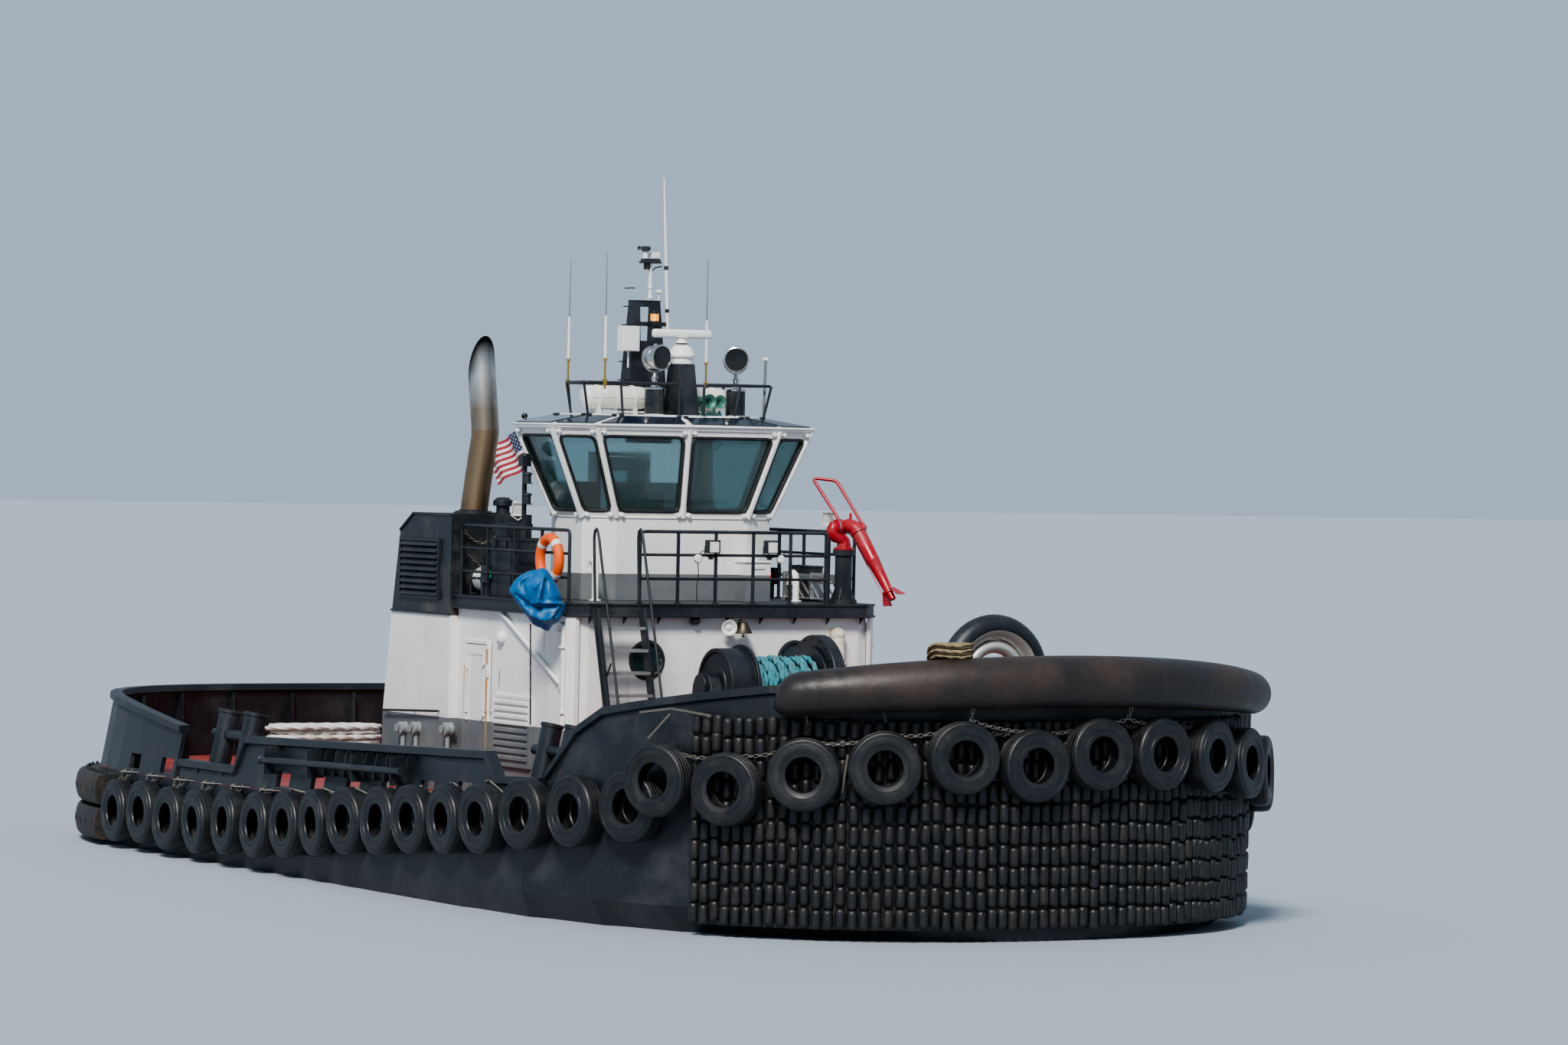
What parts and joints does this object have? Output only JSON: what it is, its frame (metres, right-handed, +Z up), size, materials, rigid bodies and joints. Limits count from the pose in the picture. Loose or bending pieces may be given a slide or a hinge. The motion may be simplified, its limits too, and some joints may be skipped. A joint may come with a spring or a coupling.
{
  "type": "harbour tugboat",
  "caption": "Black and white harbour tug with tyre-hung sides, a fendered bow, tall exhaust, wheelhouse, bow winch and two steerable thrusters.",
  "frame": {"origin": "amidships on the centreline at the waterline", "axes": "+X to the bow, +Y to port, +Z up"},
  "size_m": [24.32, 10.8698, 14.4305],
  "materials": {
    "black_paint": "satin black paint, rusted at edges",
    "hull_paint": "black topsides, dark antifouling below water",
    "white_paint": "white gloss paint, rust streaks",
    "grey_paint": "grey paint",
    "red_paint": "red gloss paint",
    "rubber": "worn black rubber",
    "tyre": "worn tyre rubber",
    "stainless": "polished stainless steel",
    "stack_steel": "heat tinted stainless steel, soot at the top",
    "lamp_metal": "chromed lamp body",
    "bronze": "bronze",
    "horn_metal": "green tarnished bronze",
    "glass": "tinted window glass",
    "aluminium": "bare aluminium",
    "orange": "orange life ring cover",
    "blue_cloth": "blue waterproof cloth",
    "hawser": "white braided rope",
    "teal_rope": "teal braided rope",
    "tan_rope": "tan laid rope",
    "cable_black": "black lashing cord",
    "flag_cloth": "flag cloth"
  },
  "bodies": {
    "boat": {"hull": "hull_paint", "bulwark_stern": "black_paint", "bulwark_mid_stbd": "black_paint", "bulwark_mid_port": "black_paint", "bulwark_fore": "black_paint", "fender_stern": "rubber", "fender_bow_rolls": "rubber", "fender_bow_log": "rubber", "tyres_side_stbd": "tyre", "tyres_side_port": "tyre", "tyres_bow": "tyre", "bow_staple": "black_paint", "bow_staple_liner": "stainless", "winch_frame": "black_paint", "boat_deck": "black_paint", "deckhouse": "white_paint", "casing_stbd": "black_paint", "casing_port": "black_paint", "exhaust_stack_stbd": "stack_steel", "exhaust_stack_port": "stack_steel", "rail_front": "black_paint", "rail_side_stbd": "black_paint", "rail_side_port": "black_paint", "wheelhouse_base": "white_paint", "wheelhouse_frame": "white_paint", "wheelhouse_glass": "glass", "wheelhouse_roof": "white_paint", "wheelhouse_interior": "black_paint", "roof_rail": "black_paint", "mast": "black_paint", "raft_canister_roof": "white_paint", "horns": "horn_metal", "monitor_pedestal": "black_paint", "ladder_front": "black_paint", "stair_aft": "black_paint", "raft_canister_deck": "white_paint", "locker_stbd": "black_paint", "gangway": "aluminium", "life_ring_rail": "orange", "life_ring_deck": "orange", "cover_blue": "blue_cloth", "cable_cover": "cable_black", "hawser_hank": "hawser", "bow_line_coil": "tan_rope", "flag": "flag_cloth", "bell": "bronze"},
    "thruster_stbd": {"thruster_stbd": "grey_paint"},
    "thruster_port": {"thruster_port": "grey_paint"},
    "propeller_stbd": {"propeller_stbd": "bronze"},
    "propeller_port": {"propeller_port": "bronze"},
    "winch_drum": {"winch_drum": "black_paint", "winch_rope": "teal_rope"},
    "radar_scanner": {"radar_scanner": "white_paint"},
    "searchlight_stbd": {"searchlight_lamp_stbd": "lamp_metal"},
    "searchlight_port": {"searchlight_lamp_port": "lamp_metal"},
    "monitor_swivel": {"monitor_swivel": "red_paint"},
    "monitor_barrel": {"monitor_barrel": "red_paint"},
    "door_stbd": {"door_stbd": "white_paint"},
    "door_port": {"door_port": "white_paint"},
    "wheelhouse_door": {"wheelhouse_door": "white_paint"}
  },
  "joints": [
    {"name": "thruster_stbd_steer", "type": "hinge", "parent": "boat", "child": "thruster_stbd", "pos_m": [-8.3, -2.15, -2.95], "axis": [0, 0, 1], "continuous": true},
    {"name": "thruster_port_steer", "type": "hinge", "parent": "boat", "child": "thruster_port", "pos_m": [-8.3, 2.15, -2.95], "axis": [0, 0, 1], "continuous": true},
    {"name": "propeller_stbd_spin", "type": "hinge", "parent": "thruster_stbd", "child": "propeller_stbd", "pos_m": [-8.485, -2.15, -2.95], "axis": [1, 0, 0], "continuous": true},
    {"name": "propeller_port_spin", "type": "hinge", "parent": "thruster_port", "child": "propeller_port", "pos_m": [-8.485, 2.15, -2.95], "axis": [1, 0, 0], "continuous": true},
    {"name": "winch_drum_spin", "type": "hinge", "parent": "boat", "child": "winch_drum", "pos_m": [4.3, 0, 2.98], "axis": [0, 1, 0], "continuous": true},
    {"name": "radar_spin", "type": "hinge", "parent": "boat", "child": "radar_scanner", "pos_m": [0.68, 0.2, 7.9], "axis": [0, 0, 1], "continuous": true},
    {"name": "searchlight_stbd_pan", "type": "hinge", "parent": "boat", "child": "searchlight_stbd", "pos_m": [0.7, -0.24, 7.33], "axis": [0, 0, 1], "range_deg": [-170, 170]},
    {"name": "searchlight_port_pan", "type": "hinge", "parent": "boat", "child": "searchlight_port", "pos_m": [0.7, 1.095, 7.33], "axis": [0, 0, 1], "range_deg": [-170, 170]},
    {"name": "monitor_turn", "type": "hinge", "parent": "boat", "child": "monitor_swivel", "pos_m": [2.33, 2.05, 4.86], "axis": [0, 0, 1], "range_deg": [-60, 60]},
    {"name": "monitor_raise", "type": "hinge", "parent": "monitor_swivel", "child": "monitor_barrel", "pos_m": [2.33, 2.05, 5.19], "axis": [0, -1, 0], "range_deg": [0, 95]},
    {"name": "door_stbd_swing", "type": "hinge", "parent": "boat", "child": "door_stbd", "pos_m": [-0.152, -2.448, 2.45], "axis": [0, 0, 1], "range_deg": [0, 110]},
    {"name": "door_port_swing", "type": "hinge", "parent": "boat", "child": "door_port", "pos_m": [-0.152, 2.448, 2.45], "axis": [0, 0, 1], "range_deg": [-110, 0]},
    {"name": "wheelhouse_door_swing", "type": "hinge", "parent": "boat", "child": "wheelhouse_door", "pos_m": [-1.03, 0.392, 5.1], "axis": [0, 0, 1], "range_deg": [-90, 0]}
  ]
}
